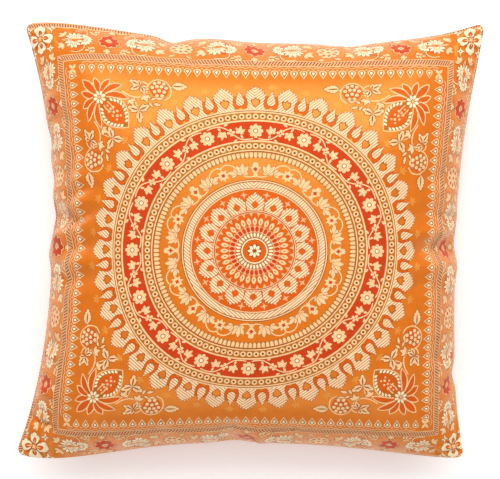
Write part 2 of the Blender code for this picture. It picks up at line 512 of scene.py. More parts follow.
@dataclass(frozen=True)
class Creases:
    """Fine creases of the silk: single ones where they lie, and puckers all along the seam."""

    half: tuple[float, float] = (0.200, 0.1955)
    pucker_depth: float = 0.0006
    pucker_reach: float = 0.011
    single: tuple = (
        # Ends in millimetres of cloth from the middle, then depth, under zero for a ridge, and half width
        (-160, 66, -126, 76, 1.4, 6.0), (-160, 47, -127, 57, -1.8, 6.0), (-164, 36, -127, 47, 2.0, 5.0),
        (-166, 26, -127, 38, -1.8, 5.0), (-186, 22, -146, 16, 2.4, 4.0), (-156, 15, -127, 29, 2.0, 4.5),
        (-190, 2, -126, 17, -2.6, 6.0), (-172, -7, -126, 2, 2.4, 5.5), (-168, -19, -127, -11, -2.0, 6.0),
        (-166, -31, -127, -24, 1.8, 6.0), (-164, -45, -128, -38, -1.2, 7.0),
        (-186, -86, -150, -78, 1.5, 7.0), (-196, -152, -156, -158, 2.6, 4.5),
        (-192, -134, -158, -118, -2.0, 6.0), (-190, 102, -148, 94, 1.5, 7.0),
        (182, 26, 128, 30, 1.4, 5.0), (176, 12, 126, 13, -1.8, 5.5), (192, 1, 124, -1, 2.2, 5.0),
        (172, -16, 126, -14, -1.8, 5.5), (170, -31, 130, -28, 1.3, 6.0), (196, 17, 160, 10, -1.4, 4.0),
        (196, 28, 162, 22, 1.4, 4.0), (186, 62, 132, 52, 1.4, 7.0), (188, -92, 150, -84, 1.5, 7.0),
        (-54, 192, -46, 144, 1.5, 6.0), (-30, 192, -26, 150, -1.2, 6.0), (60, 192, 52, 148, 1.5, 7.0),
        (104, 192, 96, 154, -1.2, 7.0), (-112, 192, -104, 156, 1.2, 7.0), (6, 192, 4, 158, 1.0, 6.0),
        (-12, -192, -8, -146, 1.8, 6.0), (14, -192, 12, -152, -1.4, 6.0), (46, -192, 40, -148, 1.4, 7.0),
        (-70, -192, -62, -152, 1.4, 7.0), (96, -192, 88, -154, 1.2, 7.0),
    )

    def height(self, u: np.ndarray, v: np.ndarray) -> np.ndarray:
        """How far the creases lift the cloth.

        Args:
            u: shares of the half cut to the right.
            v: shares of the half cut to the top.

        Returns:
            The lifts, under zero where the cloth is pressed in.
        """
        x, y = u * self.half[0], v * self.half[1]
        total = np.zeros(u.shape)
        for x0, y0, x1, y1, depth, width in np.array(self.single) * MM * (1, 1, 1, 1, 1.35, 0.95):
            run = np.array([x1 - x0, y1 - y0])
            along = ((x - x0) * run[0] + (y - y0) * run[1]) / (run @ run)
            aside = ((x - x0) * run[1] - (y - y0) * run[0]) / np.linalg.norm(run)
            ends = np.sin(math.pi * np.clip(along * 0.92 + 0.06, 0, 1)) ** 0.8
            total -= depth * ends * np.exp(-((aside / width) ** 2))
        left = self.half[0] - np.abs(x)
        top = self.half[1] - np.abs(y)
        for inward, at in ((left, y + np.sign(x) * 0.31), (top, x + np.sign(y) * 0.17)):
            near = inward / self.pucker_reach
            wave = np.sin(at * 390 + 2.1 * np.sin(at * 57)) + 0.7 * np.sin(at * 655 + 1.7 * np.sin(at * 91))
            total += self.pucker_depth * wave * near * np.exp(1 - near)
        return total


@dataclass
class Settling:
    """Settles both panels under the filling's pressure with a short cloth simulation, pinned at the seam."""

    form: FilledForm
    cells: int = 64
    frames: int = 14
    pressure: float = 3.0
    slack: float = 1.02
    most: float = 0.0025

    def closed_mesh(self, u: np.ndarray, v: np.ndarray) -> tuple[np.ndarray, list, np.ndarray, np.ndarray]:
        """Both panels as one closed mesh.

        Args:
            u: shares of the grid's points to the right.
            v: shares of the grid's points to the top.

        Returns:
            The points, the faces, and the points' places in the face's and the back's grid.
        """
        n = self.cells + 1
        face_index = np.arange(n * n).reshape(n, n)
        inner = np.maximum(np.abs(u), np.abs(v)) < ON_SEAM
        back_index = face_index.copy()
        back_index[inner] = np.arange(inner.sum()) + n * n
        points = np.concatenate([self.form.face(u, v).reshape(-1, 3), self.form.back(u, v)[inner]])
        faces = []
        for index, step in ((face_index, 1), (back_index, -1)):
            corners = np.stack([index[:-1, :-1], index[:-1, 1:], index[1:, 1:], index[1:, :-1]], -1)
            faces += corners.reshape(-1, 4)[:, ::step].tolist()
        return points, faces, face_index, back_index

    def moves(self) -> tuple[np.ndarray, np.ndarray]:
        """Run the simulation and read how far each grid point has moved.

        Returns:
            The moves of the face's and of the back's grid points.
        """
        rows = np.linspace(-1, 1, self.cells + 1)
        u, v = np.meshgrid(rows, rows)
        points, faces, face_index, back_index = self.closed_mesh(u, v)
        mesh = bpy.data.meshes.new("settling")
        mesh.from_pydata(points.tolist(), [], faces)
        made = bpy.data.objects.new("settling", mesh)
        bpy.context.scene.collection.objects.link(made)
        # At rest both panels lie flat, a thickness of cloth apart
        cut = np.zeros((len(points), 3))
        for index, height in ((back_index, -MM), (face_index, MM)):
            flat = np.stack([u * self.form.cut[0], v * self.form.cut[1], 0 * u + height], -1)
            cut[index] = flat * self.slack / 2
        made.shape_key_add(name="Basis")
        key = made.shape_key_add(name="cut")
        key.data.foreach_set("co", cut.astype(np.float32).ravel())
        seam = made.vertex_groups.new(name="seam")
        seam.add([int(i) for i in face_index[np.maximum(np.abs(u), np.abs(v)) > ON_SEAM]], 1.0, "REPLACE")
        cloth = made.modifiers.new("cloth", "CLOTH")
        for name, value in {
            "quality": 5, "mass": 0.15, "tension_stiffness": 20, "compression_stiffness": 20,
            "shear_stiffness": 5, "bending_stiffness": 0.1, "use_pressure": True,
            "uniform_pressure_force": self.pressure, "vertex_group_mass": "seam", "pin_stiffness": 1,
            "rest_shape_key": key,
        }.items():
            setattr(cloth.settings, name, value)
        cloth.settings.effector_weights.gravity = 0
        cloth.point_cache.frame_start, cloth.point_cache.frame_end = 1, self.frames
        for number in range(1, self.frames + 1):
            bpy.context.scene.frame_set(number)
        settled = made.evaluated_get(bpy.context.evaluated_depsgraph_get()).data
        places = np.empty(len(points) * 3, np.float32)
        settled.vertices.foreach_get("co", places)
        bpy.data.objects.remove(made)
        bpy.data.meshes.remove(mesh)
        bpy.context.scene.frame_set(1)
        move = places.reshape(-1, 3) - points
        size = np.linalg.norm(move, axis=-1, keepdims=True)
        LOG.info("settling moves the cloth %.2f mm, at most %.2f mm", size.mean() / MM, size.max() / MM)
        move *= np.minimum(1, self.most / np.maximum(size, 1e-9))
        # The back keeps the flat patch that it rests on
        back = move[back_index] * (points[back_index][..., 2:] > LYING)
        return move[face_index], back


def refined(grid: np.ndarray, count: int) -> np.ndarray:
    """A grid of values read smoothly at more points.

    Args:
        grid: the values at the coarse points.
        count: how many points a side of the fine grid has.

    Returns:
        The values at the fine points.
    """
    last = grid.shape[0] - 1
    place = np.linspace(0, last, count)
    first = np.minimum(place.astype(int), last - 1)
    t = place - first
    curves = (
        (-t + 2 * t**2 - t**3) / 2,
        (2 - 5 * t**2 + 3 * t**3) / 2,
        (t + 4 * t**2 - 3 * t**3) / 2,
        (t**3 - t**2) / 2,
    )
    weights = np.zeros((count, last + 1))
    for step, curve in zip((-1, 0, 1, 2), curves):
        np.add.at(weights, (np.arange(count), np.clip(first + step, 0, last)), curve)
    return np.stack([weights @ grid[..., axis] @ weights.T for axis in range(3)], -1)


# Outlines of woven figures, in millimetres

Outline = np.ndarray
Placing = Callable[[Outline], Outline]
# A square's corners, to be scaled to a border's own size
SQUARE = np.array([(-1, -1), (1, -1), (1, 1), (-1, 1)], float)
# How wide the thin line is that a figure's edge yarn leaves round it
EDGE = 0.4


def disc(radius: float, points: int = 0) -> Outline:
    """A circle about the origin.

    Args:
        radius: its radius.
        points: how many it has; without them about one each three millimetres.

    Returns:
        The outline.
    """
    count = points or max(10, int(2 * math.pi * radius / 3.0))
    angle = np.arange(count) * 2 * math.pi / count
    return np.stack([np.sin(angle), np.cos(angle)], -1) * radius


def both_sides(right: Iterable[tuple[float, float]], tip: float, foot: float | None = None) -> Outline:
    """An outline about the upright axis, made from the points of one side.

    Args:
        right: the points from the foot to the tip.
        tip: how high the point on the axis lies that ends them.
        foot: how high the point on the axis lies that starts them, where there is one.

    Returns:
        The outline.
    """
    right = np.array(right, float)
    start = [] if foot is None else [[(0, foot)]]
    return np.concatenate([*start, right, [(0, tip)], right[::-1] * (-1, 1)])


def petal(length: float, width: float, belly: float = 1.0, tip: float = 1.0, points: int = 5) -> Outline:
    """A petal or leaf from the origin along +y.

    Args:
        length: from its foot to its tip.
        width: at its widest.
        belly: over one moves the widest place to the tip, under one to the foot.
        tip: over one makes the ends keener, under one blunter.
        points: how many lie along each side.

    Returns:
        The outline.
    """
    share = np.arange(1, points + 1) / (points + 1)
    half = width / 2 * np.sin(math.pi * share**belly) ** tip
    return both_sides(np.stack([half, share * length], -1), length, 0)


def inner_petal(length: float, width: float, rim: float, *form: float) -> Outline:
    """A petal that lies inside the petal of the given size.

    Args:
        length: the outer petal's length.
        width: the outer petal's width.
        rim: how wide a rim is left all round.
        *form: belly, tip and points, as for the outer one.

    Returns:
        The outline.
    """
    return petal(length - 2.4 * rim, width - 2 * rim, *form) + (0, 1.3 * rim)


def lobed(length: float, width: float, lobes: int = 3, bite: float = 0.25, belly: float = 0.75) -> Outline:
    """A leaf from the origin along +y, its sides cut into lobes that point forward.

    Args:
        length: from its foot to its tip.
        width: over its widest lobes.
        lobes: how many lie along each side.
        bite: the share of its half width that the cuts take.
        belly: under one moves the widest place to the foot.

    Returns:
        The outline.
    """
    low = np.arange(lobes) / lobes
    high = low + 0.78 / lobes
    inner = width / 2 * np.sin(math.pi * np.maximum(low, 0.04) ** belly) * (1 - bite)
    outer = width / 2 * np.sin(math.pi * (high - 0.3 / lobes) ** belly)
    cuts = np.stack([inner, low * length], -1)
    ends = np.stack([outer, high * length], -1)
    return both_sides(np.stack([cuts, ends], 1).reshape(-1, 2)[1:], length, 0)


def drop(length: float, width: float) -> Outline:
    """A round-footed drop from the origin, its point along +y.

    Args:
        length: from its foot to its point.
        width: at its widest.

    Returns:
        The outline.
    """
    share = np.array([0.0, 0.08, 0.2, 0.38, 0.58, 0.8])
    half = np.array([0.28, 0.72, 0.96, 0.94, 0.62, 0.26]) * width / 2
    return both_sides(np.stack([half, share * length], -1), length)


def polar(radius: np.ndarray, turn: float) -> Outline:
    """An outline about the origin from its radii at even angles.

    Args:
        radius: the radii, clockwise from the top.
        turn: degrees turned.

    Returns:
        The outline.
    """
    angle = np.arange(len(radius)) * 2 * math.pi / len(radius) + math.radians(turn)
    return np.stack([np.sin(angle) * radius, np.cos(angle) * radius], -1)


def star(points: int, outer: float, inner: float, turn: float = 0.0) -> Outline:
    """A star of straight points about the origin."""
    return polar(np.array([outer, inner] * points), turn)


def flower(petals: int, outer: float, notch: float) -> Outline:
    """A round-petalled flower about the origin, a petal at the top.

    Args:
        petals: how many.
        outer: its radius.
        notch: the share of the radius left between petals.

    Returns:
        The outline.
    """
    steps = 4 * petals
    wave = np.abs(np.cos(np.arange(steps) * 2 * math.pi / steps * petals / 2)) ** 0.6
    return polar(outer * (notch + (1 - notch) * wave), 0)


def smooth_path(points: Iterable[tuple[float, float]], parts: int = 5) -> Outline:
    """A smooth line through given points.

    Args:
        points: the points.
        parts: how many parts each stretch between them is made of.

    Returns:
        The line's points.
    """
    at = np.array(list(points), float)
    at = np.concatenate([[2 * at[0] - at[1]], at, [2 * at[-1] - at[-2]]])
    share = np.arange(parts)[:, None] / parts
    made = []
    for a, b, c, d in zip(at, at[1:], at[2:], at[3:]):
        square, cube = 2 * a - 5 * b + 4 * c - d, 3 * b - a - 3 * c + d
        curve = 2 * b + (c - a) * share + square * share**2 + cube * share**3
        made.append(curve / 2)
    return np.concatenate([*made, [at[-2]]])


def strip(path: Outline, width: float) -> Outline:
    """A strip along a line.

    Args:
        path: the line.
        width: the strip's width.

    Returns:
        The outline.
    """
    run = np.gradient(path, axis=0)
    run /= np.linalg.norm(run, axis=1, keepdims=True)
    side = np.stack([-run[:, 1], run[:, 0]], -1) * (width / 2)
    return np.concatenate([path + side, (path - side)[::-1]])


def moved(outline: Outline, x: float = 0.0, y: float = 0.0, turn: float = 0.0) -> Outline:
    """An outline turned clockwise by degrees and moved."""
    c, s = math.cos(math.radians(turn)), math.sin(math.radians(turn))
    return outline @ np.array([[c, -s], [s, c]]) + (x, y)


def spun(outline: Outline, out: float, turns: Iterable[float]) -> list[Outline]:
    """Copies of an outline, each moved out from the origin and turned about it."""
    return [moved(outline + (0, out), turn=turn) for turn in turns]


def grown(outline: Outline, by: float = EDGE) -> Outline:
    """An outline with each point moved outward.

    Args:
        outline: the outline.
        by: how far, a few tenths.

    Returns:
        The larger outline.
    """
    run = np.roll(outline, -1, 0) - np.roll(outline, 1, 0)
    run /= np.maximum(np.linalg.norm(run, axis=1, keepdims=True), 1e-9)
    side = np.stack([run[:, 1], -run[:, 0]], -1)
    return outline + side * by * (1 if area(outline) > 0 else -1)


def area(outline: Outline) -> float:
    """Signed area, over zero where the outline runs anticlockwise."""
    x, y = outline[:, 0], outline[:, 1]
    return float(np.sum(x * np.roll(y, -1) - np.roll(x, -1) * y)) / 2


def around(count: int, start: float = 0.0) -> list[float]:
    """Even turns in degrees."""
    return [start + 360 * i / count for i in range(count)]


def quarters(outline: Outline) -> list[Outline]:
    """An outline mirrored in both middle lines."""
    return [outline * (sx, sy) for sx in (1, -1) for sy in (1, -1)]


@dataclass
class Loom:
    """Collects woven figures. A later one lies over an earlier one."""

    figures: list[tuple[Outline, Yarn]] = field(default_factory=list)

    def weave(self, yarn: Yarn, *outlines: Outline) -> None:
        """Add figures of one yarn."""
        self.figures += [(o if area(o) >= 0 else o[::-1], yarn) for o in outlines]

    def everywhere(
        self, placings: Iterable[Placing], outline: Outline, yarn: Yarn, edge: Yarn | None = None
    ) -> None:
        """Add a figure at each placing, with a thin edge where one is named.

        Args:
            placings: put the outline in its places.
            outline: the figure's outline.
            yarn: the yarn it is woven in.
            edge: the yarn of its edge.
        """
        for place in placings:
            if edge:
                self.weave(edge, place(grown(outline)))
            self.weave(yarn, place(outline))


# The round medallion


@dataclass
class Medallion:
    """The round medallion: bands of rings, flowers and petals about one middle.

    Radii are level ones. The panel's cloth is a little shorter up and down than across, so every
    figure is squashed by its radius.
    """

    squash: float = 0.958
    rim_squash: float = 0.985
    squash_radii: tuple[float, float] = (112.0, 134.0)
    garland_radius: float = 99.1
    vine_radius: float = 67.8

    def share(self, outline: Outline) -> np.ndarray:
        """The height share at each point's distance from the middle."""
        return np.interp(np.linalg.norm(outline, axis=1), self.squash_radii, (self.squash, self.rim_squash))

    def squashed(self, outline: Outline) -> Outline:
        """Bring an outline to the panel's own proportions."""
        return np.stack([outline[:, 0], outline[:, 1] * self.share(outline)], -1)

    def at(self, radius: float, turns: Iterable[float]) -> list[Placing]:
        """Placings round the middle, a figure's own +y pointing outward."""
        return [lambda o, t=turn: self.squashed(moved(o + (0, radius), turn=t)) for turn in turns]

    def rows(self, loom: Loom, *rows: tuple) -> None:
        """Weave rows of like figures.

        Args:
            loom: where they are woven.
            *rows: radius, turns, outline and yarn, and the edge's yarn where there is an edge.
        """
        for radius, turns, outline, *yarns in rows:
            loom.everywhere(self.at(radius, turns), outline, *yarns)

    def weave(self, loom: Loom) -> None:
        """Weave all of the medallion, from its rim to its middle."""
        self.rim_petals(loom)
        self.grounds(loom)
        self.ring_rows(loom)
        self.garland(loom)
        self.vine(loom)
        self.lotus(loom)
        self.heart(loom)

    def grounds(self, loom: Loom) -> None:
        """The bands' grounds and the lines between them, each laid over the one outside it."""
        for radius, yarn in (
            (117.0, CREAM), (116.1, BROWN), (115.5, CREAM), (114.5, OLD_GOLD), (108.6, CREAM), (107.2, RED),
            (91.2, CREAM), (89.9, OLD_GOLD), (83.3, CREAM), (82.3, BROWN), (81.7, OLD_GOLD), (76.2, GROUND),
            (58.9, BROWN), (58.3, CREAM), (57.3, BROWN), (56.6, TWILL), (51.9, BROWN), (51.4, CREAM),
            (50.5, DEEP), (33.3, CREAM), (32.5, BROWN), (31.8, PEACH), (31.2, DEEP), (20.6, PEACH),
            (15.3, BROWN), (14.9, OLD_GOLD), (11.0, BROWN), (10.6, BRIGHT), (9.6, DEEP),
        ):
            loom.weave(yarn, self.squashed(disc(radius)))

    def rim_petals(self, loom: Loom) -> None:
        """The rim: big serrated petals with a leaf-shaped eye, drops between them and faint sprigs."""
        big = both_sides(
            [(7.8, -1.4), (6.9, 1.6), (7.3, 5.4), (8.7, 6.6), (9.1, 9.0), (7.5, 9.5), (8.2, 11.8),
             (6.3, 11.6), (6.7, 14.0), (4.8, 13.2), (4.8, 15.8), (3.1, 14.7), (2.6, 17.2), (1.4, 16.0)], 18.2
        )
        eye = both_sides([(1.9, 2.2), (3.5, 4.4), (3.7, 6.2), (2.8, 7.3), (1.9, 6.9), (1.1, 7.3)], 8.9, 0.6)
        pocket = both_sides([(4.5, 9.4), (5.2, 6.6), (5.5, 3.6), (4.6, 1.2), (2.6, 0.4)], 2.0)
        turns, between = around(32), around(32, 360 / 64)
        for turn, up, length, width in (
            (0, 0, 2.4, 1.2), (-62, 1.6, 4.4, 1.8), (62, 1.6, 4.4, 1.8), (-24, 2.2, 4.6, 1.8),
            (24, 2.2, 4.6, 1.8),
        ):
            self.rows(loom, (131.5, between, moved(petal(length, width), 0, up, turn), SHADE))
        self.rows(
            loom,
            (117.2, turns, grown(big, 0.5), BROWN), (117.2, turns, big, TWILL),
            (117.4, between, pocket, DEEP, BROWN), (120.0, between, drop(11.8, 6.8), TWILL, BROWN),
            (117.6, turns, eye, BROWN), (118.4, turns, eye * 0.8, GROUND),
        )

    def ring_rows(self, loom: Loom) -> None:
        """The two rows of small rings, and the row of teeth inside the inner one."""
        for count, radius, size in ((128, 111.5, 2.3), (104, 86.5, 2.35)):
            turns, hole = around(count), disc(size * 0.45, 6)
            self.rows(loom, (radius, turns, disc(size, 10), CREAM), (radius, turns, hole, DARK))
        tooth = np.array([(-1.3, 4.6), (-1.25, 1.4), (-0.5, 0.2), (0.5, 0.2), (1.25, 1.4), (1.3, 4.6)])
        self.rows(loom, (76.4, around(144), tooth, CREAM))

    def garland(self, loom: Loom) -> None:
        """The red band's garland: big and small flowers on one stem with lobed leaves."""
        for i, turn in enumerate(around(16)):
            self.garland_unit(loom, turn, -1 if i % 2 else 1)
        radius, big, small = self.garland_radius, around(16), around(16, 11.25)
        self.rows(
            loom,
            (radius, big, flower(8, 6.0, 0.72), CREAM), (radius, big, disc(2.1, 10), BROWN),
            (radius, big, disc(1.5, 8), BRIGHT), (radius, small, flower(4, 3.3, 0.4), CREAM),
            (radius, small, disc(0.7, 6), RED),
        )

    def garland_unit(self, loom: Loom, turn: float, sense: int) -> None:
        """The leaves and stems on both sides of one big flower.

        Args:
            loom: where they are woven.
            turn: the flower's degrees from the top.
            sense: 1 where its leaves point outward, or -1.
        """
        radius = self.garland_radius
        for flip in (1, -1):
            # A leaf stands between this flower and the small one beside it
            place = self.at(radius + sense * 1.0, [7.0])[0]
            for angle, length, width in (
                (84, 4.0, 2.4), (-84, 4.0, 2.4), (42, 6.8, 3.0), (-42, 6.8, 3.0), (0, 8.0, 3.0),
            ):
                lobe = moved(petal(length * 0.82, width * 0.85, 1.1), 0, -2.4, angle)
                lobe = moved(lobe, turn=-18) * (1, sense)
                loom.weave(CREAM, self.turned(place(lobe), flip, turn))
            stem = smooth_path([(2.2, -6.4), (6.2, -7.0), (11.6, -6.6), (15.6, -4.2), (18.2, -1.8)])
            small = [moved(petal(3.8, 2.0), *at) for at in ((15.2, -6.4, 112), (10.6, -6.2, 20))]
            for made in (strip(stem, 1.0), *small):
                bent = self.squashed(self.bent(made * (1, sense), radius))
                loom.weave(CREAM, self.turned(bent, flip, turn))

    def bent(self, outline: Outline, radius: float) -> Outline:
        """Bend an outline drawn on a straight band round the circle of that radius.

        Args:
            outline: the outline, the band's own line at height zero.
            radius: the circle's.

        Returns:
            The bent outline.
        """
        angle = outline[:, 0] / radius
        out = radius + outline[:, 1]
        return np.stack([np.sin(angle) * out, np.cos(angle) * out], -1)

    def turned(self, outline: Outline, flip: int, turn: float) -> Outline:
        """Mirror and turn an outline that is in its squashed place at the top, squashing it anew."""
        level = np.stack([outline[:, 0] * flip, outline[:, 1] / self.share(outline)], -1)
        return self.squashed(moved(level, turn=turn))

    def vine(self, loom: Loom) -> None:
        """The orange band's vine: upright and hanging flowers, tulip leaves and small leaves."""
        turns, hanging, band = around(8), around(8, 22.5), self.vine_radius

        def both(yarn: Yarn, outline: Outline) -> None:
            """Weave the outline, bent round the band, at every turn and mirrored."""
            bent = self.bent(outline, band)
            loom.weave(yarn, *(self.squashed(moved(bent * (f, 1), turn=t)) for t in turns for f in (1, -1)))

        stem = [(0, -5.6), (4, -7.0), (9.4, -5.6), (13.6, -1.6), (17.2, 3.6), (21.2, 5.9), (25.0, 5.6),
                (26.6, 4.0)]
        both(CREAM, strip(smooth_path(stem), 1.0))
        for along, out, lobes in (
            # Along the band, out from it, then turn, length and width of each lobe
            (10.6, -5.0, ((-70, 5.0, 2.4), (58, 6.4, 2.8), (-34, 8.8, 3.4), (26, 9.6, 3.4), (-4, 10.0, 3.6))),
            (15.2, -3.6, ((104, 5.4, 2.4), (26, 5.6, 2.6), (66, 8.0, 3.4))),
        ):
            for angle, length, width in lobes:
                lobe = moved(petal(length, width, 1.25), along, out, angle)
                both(BROWN, grown(lobe, 0.3))
                both(CREAM, lobe)
        self.rows(
            loom,
            (band - 5.2, turns, lobed(10.4, 8.6, 3, 0.35, 0.9), CREAM),
            (band - 0.6, turns, star(4, 2.2, 1.2), RED),
            (band - 7.4, turns, petal(3.6, 3.6, 1.2, 0.7), CREAM),
            (band - 1.4, hanging, star(8, 5.2, 3.2), CREAM),
            (band - 1.4, hanging, star(4, 1.9, 1.2, 45), RED),
        )

    def lotus(self, loom: Loom) -> None:
        """Sixteen broad serrated petals with a long eye, and four-pointed stars between them."""
        broad = both_sides(
            [(6.0, 0.3), (6.8, 3.0), (7.8, 6.8), (6.5, 7.8), (7.2, 9.9), (5.3, 9.8), (5.3, 12.0), (3.6, 11.3),
             (3.1, 13.4), (1.7, 12.6)], 15.4
        )
        eye = both_sides([(-1.0, 1.9), (-3.0, 4.2), (-2.8, 5.4)], 8.4)
        self.rows(
            loom,
            (33.2, around(16), broad, TWILL, RED), (33.2, around(16), eye, DEEP),
            (46.6, around(16, 11.25), star(4, 3.2, 1.1), PEACH),
        )

    def heart(self, loom: Loom) -> None:
        """The middle: small petals, dashes and strokes about a rosette."""
        turns, between = around(32), around(32, 360 / 64)
        self.rows(
            loom,
            (31.2, between, np.array([(-1.5, 0), (1.5, 0), (0, -3.2)]), PEACH),
            (20.6, turns, petal(7.0, 3.6, 1.1, 0.7), CREAM),
            (22.6, turns, petal(2.6, 0.7), BROWN),
            (15.6, between, petal(4.9, 2.8, 1.0, 0.4), RED),
            (11.2, turns, petal(4.0, 1.7, 1.0, 0.45), BRIGHT),
            (0.0, [0.0], disc(5.6, 16), BROWN),
            (1.3, around(8), petal(4.2, 2.4, 1.3, 0.55), BRIGHT),
        )


# The square field's corner sprays


@dataclass
class CornerSpray:
    """A spray in each corner of the field: an almond bud, an open flower and two branches."""

    rosette: tuple[float, float] = (-124.0, 118.0)
    bud_length: float = 33.6
    bud_width: float = 24.5

    def weave(self, loom: Loom) -> None:
        """Weave the spray in all four corners."""
        for outline, yarn in self.head() + self.branches():
            loom.weave(yarn, *quarters(outline))

    def bud(self, rim: float, points: int) -> Outline:
        """The bud's outline inside a rim."""
        return inner_petal(self.bud_length, self.bud_width, rim, 0.95, 0.85, points)

    def head(self) -> list[tuple[Outline, Yarn]]:
        """The open flower and the bud of the top left corner, in the order that they are laid.

        Returns:
            Their figures.
        """
        made: list[tuple[Outline, Yarn]] = []

        def lay(yarn: Yarn, *outlines: Outline) -> None:
            """Lay figures drawn about the rosette, whose +y points to the medallion's middle."""
            made.extend((moved(outline, *self.rosette, turn=135), yarn) for outline in outlines)

        def both(yarn: Yarn, outline: Outline) -> None:
            """Lay a figure and its mirror image in the spray's own axis."""
            lay(yarn, outline, outline * (-1, 1))

        # Petals behind the flower, from the axis round to the bud
        for turn, length, width, bend in (
            # Degrees, length, width, and how far the middle bends aside
            (180, 21.0, 8.2, 0.0), (148, 17.6, 6.8, -0.8), (104, 19.0, 6.8, 1.0), (75, 23.4, 6.4, 2.4),
            (44, 25.4, 6.6, 3.0),
        ):
            for rim, yarn in ((0.0, CREAM), (1.05, DEEP)):
                shape = inner_petal(length, width, rim, 1.35, 0.75, 8)
                aside = bend * np.sin(np.clip(shape[:, 1] / length, 0, 1) * math.pi)
                both(yarn, moved(shape + np.stack([aside, 0 * aside], -1), turn=turn))
        for rim, yarn in ((0.0, CREAM), (0.9, OLD_GOLD), (4.4, DEEP)):
            lay(yarn, self.bud(rim, 9))
        # Small leaves slanted along the bud's rim
        line = self.bud(2.5, 24)
        line = line[line[:, 0] > 0.4]
        along = np.concatenate([[0], np.cumsum(np.linalg.norm(np.diff(line, axis=0), axis=1))])
        for at in np.linspace(5.5, along[-1] - 1.8, 9):
            (x, run), (y, rise) = ((np.interp(at, along, a), np.interp(at + 1, along, a)) for a in line.T)
            turn = math.degrees(math.atan2(run - x, rise - y)) - 50
            both(BRIGHT, moved(petal(3.5, 1.9, 1.0, 0.6, 3) - (0, 1.7), x, y, turn))
        both(CREAM, strip(smooth_path([(-2.2, 7.0), (-2.6, 11.0), (-1.6, 15.0)], 3), 0.9))
        for x, y, size in (
            (0, 9.4, 0.8), (0, 13.0, 1.1), (3.0, 13.6, 0.9), (0, 16.6, 1.1), (2.8, 18.0, 1.0), (0, 20.6, 1.2),
            (2.4, 22.4, 0.9),
        ):
            both(CREAM, disc(size, 7) + (x, y))
        lay(OLD_GOLD, disc(5.9, 16))
        lay(BRIGHT, *spun(petal(4.4, 2.4, 1.4, 0.6), 1.4, around(8, 22.5)))
        lay(CREAM, disc(1.0, 8))
        return made

    def branches(self) -> list[tuple[Outline, Yarn]]:
        """The branch above the bud and its mirror image left of it, in the corner's own diagonal.

        Returns:
            Their figures.
        """
        made: list[tuple[Outline, Yarn]] = []
        for path, width in (
            ([(-104.5, 124.0), (-97.5, 120.0), (-90.0, 119.6), (-85.0, 124.0), (-83.8, 130.5), (-87.5, 133.0),
              (-92.0, 132.0)], 1.0),
            ([(-84.6, 126.0), (-82.0, 132.0), (-76.0, 135.6), (-69.4, 133.8), (-65.6, 127.6), (-66.6, 121.0),
              (-71.0, 117.6)], 0.9),
            ([(-65.8, 129.0), (-62.4, 130.2), (-59.0, 130.4)], 0.9),
            ([(-95.0, 119.5), (-93.2, 113.0), (-91.4, 108.0)], 0.8),
        ):
            made.append((strip(smooth_path(path), width), CREAM))
        leaves = [
            # Foot, then turn, length and width of each lobe
            (-89.8, 129.6, ((-62, 9.4, 5.6), (-118, 8.8, 5.2), (-14, 5.0, 4.2))),
            (-89.0, 128.8, ((112, 6.6, 4.8), (158, 6.8, 4.6))),
            (-91.4, 108.4, ((-74, 9.4, 6.6), (62, 9.6, 6.4), (176, 10.0, 6.2))),
            (-65.0, 130.4, ((90, 12.4, 8.0),)),
            (-98.4, 117.0, ((150, 5.6, 3.4), (95, 4.8, 3.0), (205, 4.2, 2.8))),
            (-86.4, 120.8, ((160, 5.4, 3.4), (105, 5.2, 3.2), (215, 4.6, 3.0))),
            (-81.6, 117.4, ((66, 4.6, 2.2),)),
            (-83.0, 115.6, ((146, 5.0, 2.4),)),
            (-79.6, 114.4, ((100, 6.0, 2.8),)),
            (-74.6, 117.6, ((-42, 8.4, 2.6), (42, 8.4, 2.6), (0, 3.4, 2.6))),
        ]
        placed = [
            (lobed(length, width, 5 if length > 12 else 3), (x, y, turn), length, width)
            for x, y, lobes in leaves
            for turn, length, width in lobes
        ]
        made += [(moved(grown(leaf, 0.55), *place), BROWN) for leaf, place, _, _ in placed]
        for leaf, place, length, width in placed:
            made.append((moved(leaf, *place), CREAM))
            if width > 3.5:
                made.append((moved(petal(length * 0.8, 1.2), *place), BROWN))
        made.append((disc(7.6, 18) + (-74.6, 127.2), DEEP))
        for place in (
            (-78.2, 132.0), (-74.6, 133.2), (-71.0, 132.0), (-80.0, 128.4), (-76.4, 129.4), (-72.8, 129.4),
            (-69.2, 128.4), (-78.4, 124.8), (-74.6, 125.8), (-70.8, 124.8), (-76.6, 121.4), (-72.6, 121.4),
        ):
            made += [(disc(2.0, 8) + place, BROWN), (disc(1.6, 8) + place, CREAM)]
        middle = np.array(self.rosette)
        return made + [((outline - middle)[:, ::-1] * (-1, -1) + middle, yarn) for outline, yarn in made]


# Borders


